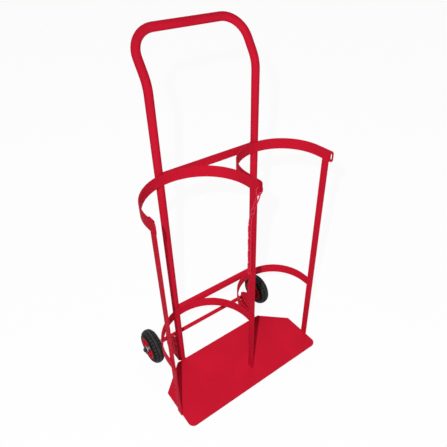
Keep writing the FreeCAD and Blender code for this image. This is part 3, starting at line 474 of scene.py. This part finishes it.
def tyre_half_section(rubber, radius, half_width):
    """Right half of the section at the tread's floor, from the bead to the middle: X across, Z out."""
    tread_half = rubber.tread_width / 2
    floor = radius - rubber.groove_depth

    def on_floor(x):
        return Vector((x, 0, floor - crown_drop(x, tread_half, rubber.shoulder_drop)))

    bead = rubber.bead_width / 2
    foot = Vector((bead, 0, rubber.wall_foot))
    shoulder = on_floor(tread_half)
    bulge = half_width - (bead + tread_half) / 2
    outer_band = stepped(tread_half, rubber.groove_outside, SHOULDER_STEPS)
    inner_band = stepped(rubber.groove_inside, 0.0, RIB_STEPS)
    return [
        Vector((bead, 0, rubber.bead_radius)), foot, *bulged(foot, shoulder, bulge, WALL_STEPS),
        *(on_floor(x) for x in outer_band + inner_band),
    ]


def is_raised(face, rubber, floor, step):
    """Whether a face is on the middle rib or a shoulder's block. The two sides' gaps are staggered."""
    centre = face.calc_center_median()
    across = abs(centre.x)
    if math.hypot(centre.y, centre.z) < floor or across > rubber.tread_width / 2:
        return False
    if rubber.groove_inside < across < rubber.groove_outside:
        return False
    if across < rubber.groove_inside:
        return True
    stagger = 0 if centre.x > 0 else FACES_PER_BLOCK // 2
    number = math.floor(math.atan2(centre.z, centre.y) / step) + stagger
    return number % FACES_PER_BLOCK != 0


def tyre_mesh(name, rubber, radius, half_width, centre):
    """Tyre spun about the wheel's axle, with its tread bands raised into ribs and blocks."""
    half = tyre_half_section(rubber, radius, half_width)
    outline = half + [Vector((-point.x, 0, point.z)) for point in half[-2::-1]]
    bm = bmesh.new()
    tread_top = bm.verts.layers.float.new("tread_top")
    verts = [bm.verts.new(point) for point in outline]
    edges = [bm.edges.new(pair) for pair in zip(verts, verts[1:] + verts[:1])]
    turns = rubber.blocks * FACES_PER_BLOCK
    bmesh.ops.spin(bm, geom=verts + edges, cent=(0, 0, 0), axis=(1, 0, 0),
                   angle=math.tau, steps=turns, use_merge=True)
    bmesh.ops.remove_doubles(bm, verts=bm.verts, dist=MERGE_DISTANCE)
    bmesh.ops.recalc_face_normals(bm, faces=bm.faces)
    tread_floor = radius - rubber.groove_depth - rubber.shoulder_drop * DROP_MARGIN
    blocks = [face for face in bm.faces if is_raised(face, rubber, tread_floor, math.tau / turns)]
    raised = bmesh.ops.extrude_face_region(bm, geom=blocks)
    bmesh.ops.delete(bm, geom=blocks, context="FACES")
    for vert in (item for item in raised["geom"] if isinstance(item, bmesh.types.BMVert)):
        out = Vector((0, vert.co.y, vert.co.z)).normalized()
        vert.co += out * rubber.groove_depth
        vert[tread_top] = 1.0
    bmesh.ops.recalc_face_normals(bm, faces=bm.faces)
    bmesh.ops.translate(bm, verts=bm.verts, vec=centre)
    return mesh_from(bm, name)


# Weld beads

LEG_BEAD_SETBACK = 0.001
LEG_BEAD_REACH = 0.8
FILLET_LIFT = 0.6
FILLET_HALF_TURN = 0.12
# Height, rate and start of each wave in the ripples' size along a bead.
RIPPLE_WAVES = ((0.10, 2.3, 0.0), (0.06, 5.1, 1.0))


def along(start, end, pitch):
    """Evenly stepped points from start to end."""
    run = end - start
    steps = max(2, round(run.length / pitch))
    return [start + run * (k / steps) for k in range(steps + 1)]


def lay_bead(bm, points, width, flatness):
    """Overlapping ripples along the points, each a low round scale."""
    for k, point in enumerate(points):
        ahead = points[min(k + 1, len(points) - 1)] - points[max(k - 1, 0)]
        turn = ahead.to_track_quat("X", "Z").to_matrix().to_4x4()
        swell = 1.0 + sum(height * math.sin(rate * k + start) for height, rate, start in RIPPLE_WAVES)
        scale = Matrix.Diagonal((flatness, swell, swell, 1.0))
        bmesh.ops.create_icosphere(bm, subdivisions=1, radius=width / 2,
                                   matrix=Matrix.Translation(point) @ turn @ scale)


def plate_beads(pitch):
    """Round the feet of the uprights, the post and the legs, on the plate's top."""
    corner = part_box("base_plate")[1]
    paths = []
    for name in ("left_upright", "right_upright", "centre_post"):
        low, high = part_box(name)
        faces = [low.x, high.x] if name == "centre_post" else [min((low.x, high.x), key=abs)]
        paths += [along(Vector((x, low.y, corner.z)), Vector((x, high.y, corner.z)), pitch) for x in faces]
    reach = leg_radius() * LEG_BEAD_REACH
    for sign in SIDES.values():
        foot = Vector((sign * leg_place(), corner.y + LEG_BEAD_SETBACK, corner.z))
        paths.append(along(foot - Vector((reach, 0, 0)), foot + Vector((reach, 0, 0)), pitch))
    return paths


def leg_radius():
    low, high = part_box("lower_cross_tube")
    return (high.y - low.y) / 2


def leg_place():
    """Distance of a leg's middle from the cart's middle plane."""
    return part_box("right_axle_bracket")[0].x - leg_radius()


def arm_bead(bar, arm, side, pitch):
    """Down the front, along the bottom and up the back of a hoop's arm, on the face of its flat bar."""
    (bar_low, bar_high), (arm_low, arm_high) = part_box(bar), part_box(arm)
    x = {"left": bar_low.x, "right": bar_high.x}[side]
    front, back = max(bar_low.y, arm_low.y), bar_high.y
    corners = [Vector((x, y, z)) for y, z in ((front, arm_high.z), (front, arm_low.z),
                                              (back, arm_low.z), (back, arm_high.z))]
    return [along(start, end, pitch) for start, end in zip(corners, corners[1:])]


def tube_fillet(hoop, tube, pitch):
    """Above and below the line where a hoop's back touches its cross tube."""
    low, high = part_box(hoop)
    radius = (high.x - low.x) / 2
    centre = Vector((middle(low, high).x, high.y - radius, middle(*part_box(tube)).z))
    lift = leg_radius() * FILLET_LIFT
    steps = round(2 * FILLET_HALF_TURN * radius / pitch)
    turns = [FILLET_HALF_TURN * (2 * k / steps - 1) for k in range(steps + 1)]
    return [[centre + Vector((radius * math.sin(turn), radius * math.cos(turn), rise)) for turn in turns]
            for rise in (-lift, lift)]


def hoop_beads(pitch):
    """Where the hoops' arms meet the flat bars, and where their backs meet the cross tubes."""
    paths = []
    for level in ("upper", "lower"):
        for side in SIDES:
            hoop = f"{level}_{side}_hoop"
            for bar in (f"{side}_upright", "centre_post"):
                paths += arm_bead(bar, hoop, side, pitch)
            paths += tube_fillet(hoop, f"{level}_cross_tube", pitch)
    return paths


def tube_beads(pitch):
    """Saddle-shaped beads where the cross tubes meet the legs."""
    paths = []
    radius = leg_radius()
    for name in ("upper_cross_tube", "lower_cross_tube"):
        centre = middle(*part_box(name))
        steps = round(math.tau * radius / pitch)
        for sign in SIDES.values():
            path = []
            for k in range(steps + 1):
                turn = math.tau * k / steps
                y, z = radius * math.sin(turn), radius * math.cos(turn)
                x = leg_place() - math.sqrt(max(radius ** 2 - y ** 2, 0.0))
                path.append(Vector((sign * x, centre.y + y, centre.z + z)))
            paths.append(path)
    return paths


def ring(centre, radius, pitch):
    """Evenly stepped points round a circle that faces along X."""
    steps = round(math.tau * radius / pitch)
    turns = [math.tau * k / steps for k in range(steps)]
    return [centre + Vector((0, radius * math.cos(turn), radius * math.sin(turn))) for turn in turns]


def bracket_beads(pitch):
    """Down the legs in front of and behind where the axle brackets touch them, and round the axle."""
    axle_low, axle_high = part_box("axle")
    axle_radius = (axle_high.z - axle_low.z) / 2
    leg_y = middle(*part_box("lower_cross_tube")).y
    paths = []
    for side in SIDES:
        low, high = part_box(f"{side}_axle_bracket")
        face = {"left": high.x, "right": low.x}[side]
        for y in (low.y, 2 * leg_y - low.y):
            paths.append(along(Vector((face, y, low.z)), Vector((face, y, high.z)), pitch))
        for x in (low.x, high.x):
            paths.append(ring(Vector((x, *middle(axle_low, axle_high).yz)), axle_radius, pitch))
    return paths


BEADS = {
    "plate_welds": plate_beads,
    "hoop_welds": hoop_beads,
    "tube_welds": tube_beads,
    "bracket_welds": bracket_beads,
}


# Operators

class CART_OT_paint_frame(Operator):
    """Give the frame its sprayed red coat"""

    bl_idname = "cart.paint_frame"
    bl_label = "Paint Frame"

    def execute(self, context):
        paint = context.scene.cart_paint
        dress(PAINTED_NODES, paint_material("frame_paint", paint.colour, chips=0.0, scuffs=paint.scuffs))
        dress(("axle",), axle_material())
        return {"FINISHED"}


class CART_OT_paint_rims(Operator):
    """Give the wheel rims their red coat"""

    bl_idname = "cart.paint_rims"
    bl_label = "Paint Rims"

    def execute(self, context):
        paint = context.scene.cart_paint
        dress(RIM_NODES, paint_material("rim_paint", paint.colour, chips=0.04, scuffs=0.5, peel_share=0.6))
        return {"FINISHED"}


class CART_OT_paint_chain(Operator):
    """Give the chain its thin, chipped coat"""

    bl_idname = "cart.paint_chain"
    bl_label = "Paint Chain"

    def execute(self, context):
        paint = context.scene.cart_paint
        # The chain's coat is the frame's red made lighter, as a painted highlight on its links.
        dress(CHAIN_NODES, paint_material("chain_paint", paint.chain_coat_and_highlight_colour,
                                          chips=0.12, scuffs=0.8, peel_share=0.5))
        return {"FINISHED"}


class CART_OT_plate_fittings(Operator):
    """Plate the fasteners, hubs and collars, and mould the bushes"""

    bl_idname = "cart.plate_fittings"
    bl_label = "Plate Fittings"

    def execute(self, context):
        plating = context.scene.cart_plating
        # The washers' and split pins' dark colour is painted shade from the hub.
        for nodes, name, tint in ((PLATED_NODES, "zinc_plate", plating.zinc_colour),
                                  (PIN_NODES, "pin_steel", plating.pin_shaded_colour)):
            dress(nodes, tarnish_material(name, tint, plating.zinc_roughness,
                                          metallic=1.0, grain_scale=400.0, depth=0.00003))
        dress(BUSH_NODES, tarnish_material("bush_nylon", plating.nylon_colour, plating.nylon_roughness,
                                           metallic=0.0, grain_scale=700.0, depth=0.00002))
        return {"FINISHED"}


class CART_OT_make_tyres(Operator):
    """Make the tyres with their ribbed and notched tread"""

    bl_idname = "cart.make_tyres"
    bl_label = "Make Tyres"

    def execute(self, context):
        rubber = context.scene.cart_rubber
        material = rubber_material()
        for side in SIDES:
            low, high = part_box(f"{side}_tyre")
            size = high - low
            radius = min(size.y, size.z) / 2
            mesh = tyre_mesh(f"{side}_treaded_tyre", rubber, radius, size.x / 2, middle(low, high))
            tyre = new_piece(f"{side}_treaded_tyre", mesh, material, f"{side}_wheel")
            bevel = tyre.modifiers.new("block_edges", "BEVEL")
            bevel.width = rubber.block_edge
            bevel.limit_method = "ANGLE"
            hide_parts(f"{side}_tyre")
        return {"FINISHED"}


class CART_OT_lay_welds(Operator):
    """Lay the rippled weld beads that join the frame"""

    bl_idname = "cart.lay_welds"
    bl_label = "Lay Welds"

    def execute(self, context):
        welds = context.scene.cart_welds
        material = bpy.data.materials["frame_paint"]
        for name, paths in BEADS.items():
            bm = bmesh.new()
            for path in paths(welds.ripple_pitch):
                lay_bead(bm, path, welds.bead_width, welds.flatness)
            for face in bm.faces:
                face.smooth = True
            new_piece(name, mesh_from(bm, name), material, "frame")
        return {"FINISHED"}


class CART_OT_set_stage(Operator):
    """Set up the camera, the pale floor, the white room and the lamps"""

    bl_idname = "cart.set_stage"
    bl_label = "Set Stage"

    def execute(self, context):
        studio = context.scene.cart_studio
        context.scene.view_settings.view_transform = "Standard"
        add_camera(studio)
        add_floor(studio)
        add_room(studio)
        add_key_lamp(studio)
        add_back_light(studio)
        return {"FINISHED"}


def add_camera(studio):
    """Camera at the photograph's viewpoint."""
    yaw, pitch, roll = studio.camera_yaw, studio.camera_pitch, studio.camera_roll
    forward = pointing(yaw, pitch)
    level = Vector((math.cos(yaw), -math.sin(yaw), 0))
    rise = level.cross(forward)
    across = level * math.cos(roll) + rise * math.sin(roll)
    upward = rise * math.cos(roll) - level * math.sin(roll)
    data = bpy.data.cameras.new("photo_camera")
    data.sensor_width = SENSOR_WIDTH
    data.lens = studio.focal_pixels / PHOTO_PIXELS * SENSOR_WIDTH
    camera = bpy.data.objects.new("photo_camera", data)
    turn = Matrix((across, upward, -forward)).transposed().to_4x4()
    camera.matrix_world = Matrix.Translation(studio.camera_place) @ turn
    bpy.context.scene.collection.objects.link(camera)
    bpy.context.scene.camera = camera


FLOOR_REACH = 30.0
FLOOR_GAP = 0.0004
FLOOR_ROUGHNESS = 0.9
FULL_SPHERE = 4 * math.pi


def seen_directly(tree):
    """1 for rays that show the surface to the camera, itself or through gloss and glass."""
    rays = add_node(tree, "ShaderNodeLightPath").outputs
    shown = arithmetic(tree, "MAXIMUM", rays["Is Camera Ray"], rays["Is Glossy Ray"])
    return arithmetic(tree, "MAXIMUM", shown, rays["Is Transmission Ray"])


def add_floor(studio):
    """Wide pale floor. Part of its white is its own to the camera, so that shadows stay light."""
    bm = bmesh.new()
    bmesh.ops.create_grid(bm, x_segments=1, y_segments=1, size=FLOOR_REACH)
    bmesh.ops.translate(bm, verts=bm.verts, vec=(0, 0, -FLOOR_GAP))
    mesh = mesh_from(bm, "floor")
    material, tree, shader = new_material("pale_floor")
    shader["Base Color"].default_value = opaque(studio.floor_colour)
    shader["Roughness"].default_value = FLOOR_ROUGHNESS
    shader["Specular IOR Level"].default_value = 0.0
    glow = add_node(tree, "ShaderNodeEmission", {"Color": WHITE, "Strength": 1.0})
    blend = arithmetic(tree, "MULTIPLY", seen_directly(tree), studio.floor_glow)
    lit = tree.nodes["Principled BSDF"].outputs[0]
    surface = add_node(tree, "ShaderNodeMixShader", {0: blend, 1: lit, 2: glow.outputs[0]})
    tree.links.new(surface.outputs[0], tree.nodes["Material Output"].inputs["Surface"])
    mesh.materials.append(material)
    floor = bpy.data.objects.new("floor", mesh)
    bpy.context.scene.collection.objects.link(floor)


def add_room(studio):
    """White room that lights the cart evenly and shows as plain white."""
    world = bpy.data.worlds.new("white_room")
    world.use_nodes = True
    tree = world.node_tree
    background = tree.nodes["Background"]
    background.inputs["Color"].default_value = WHITE
    strength = map_range(tree, seen_directly(tree), 0.0, 1.0, studio.ambient, 1.0)
    tree.links.new(strength, background.inputs["Strength"])
    bpy.context.scene.world = world


def pointing(yaw, pitch):
    """Direction that is turned from straight back to the right by the yaw and falls by the pitch."""
    return Vector((math.sin(yaw) * math.cos(pitch), math.cos(yaw) * math.cos(pitch), -math.sin(pitch)))


def add_key_lamp(studio):
    """Small lamp beside the camera that lights near and far with the same strength."""
    data = bpy.data.lights.new("key_lamp", "POINT")
    data.energy = studio.key_strength * FULL_SPHERE
    data.shadow_soft_size = studio.key_radius
    data.use_nodes = True
    tree = data.node_tree
    even = add_node(tree, "ShaderNodeLightFalloff", {"Strength": 1.0}).outputs["Constant"]
    tree.links.new(even, tree.nodes["Emission"].inputs["Strength"])
    lamp = bpy.data.objects.new("key_lamp", data)
    lamp.location = studio.key_place
    bpy.context.scene.collection.objects.link(lamp)


def add_back_light(studio):
    """Wide, weak light from behind and above that shows the back and evens the plate with the tubes."""
    data = bpy.data.lights.new("back_light", "SUN")
    data.energy = studio.back_strength
    data.angle = studio.back_spread
    light = bpy.data.objects.new("back_light", data)
    light.rotation_mode = "QUATERNION"
    light.rotation_quaternion = pointing(studio.back_yaw, studio.back_pitch).to_track_quat("-Z", "Y")
    bpy.context.scene.collection.objects.link(light)


class CART_PT_panel(Panel):
    """Steps and settings of the cart"""

    bl_idname = "CART_PT_panel"
    bl_label = "Cart"
    bl_space_type = "VIEW_3D"
    bl_region_type = "UI"
    bl_category = "Cart"

    def draw(self, context):
        for operator in OPERATORS:
            self.layout.operator(operator.bl_idname)
        for name, group in SETTINGS.items():
            box = self.layout.box()
            for setting in group.__annotations__:
                box.prop(getattr(context.scene, name), setting)


OPERATORS = (
    CART_OT_set_stage,
    CART_OT_paint_frame,
    CART_OT_paint_rims,
    CART_OT_paint_chain,
    CART_OT_plate_fittings,
    CART_OT_make_tyres,
    CART_OT_lay_welds,
)
CLASSES = (*SETTINGS.values(), *OPERATORS, CART_PT_panel)


def register():
    for cls in CLASSES:
        bpy.utils.register_class(cls)
    for name, group in SETTINGS.items():
        setattr(Scene, name, PointerProperty(type=group))


def unregister():
    for name in SETTINGS:
        delattr(Scene, name)
    for cls in reversed(CLASSES):
        bpy.utils.unregister_class(cls)


def main():
    register()
    bpy.ops.cart.set_stage()
    bpy.ops.cart.paint_frame()
    bpy.ops.cart.paint_rims()
    bpy.ops.cart.paint_chain()
    bpy.ops.cart.plate_fittings()
    bpy.ops.cart.make_tyres()
    bpy.ops.cart.lay_welds()


if __name__ == "__main__":
    main()
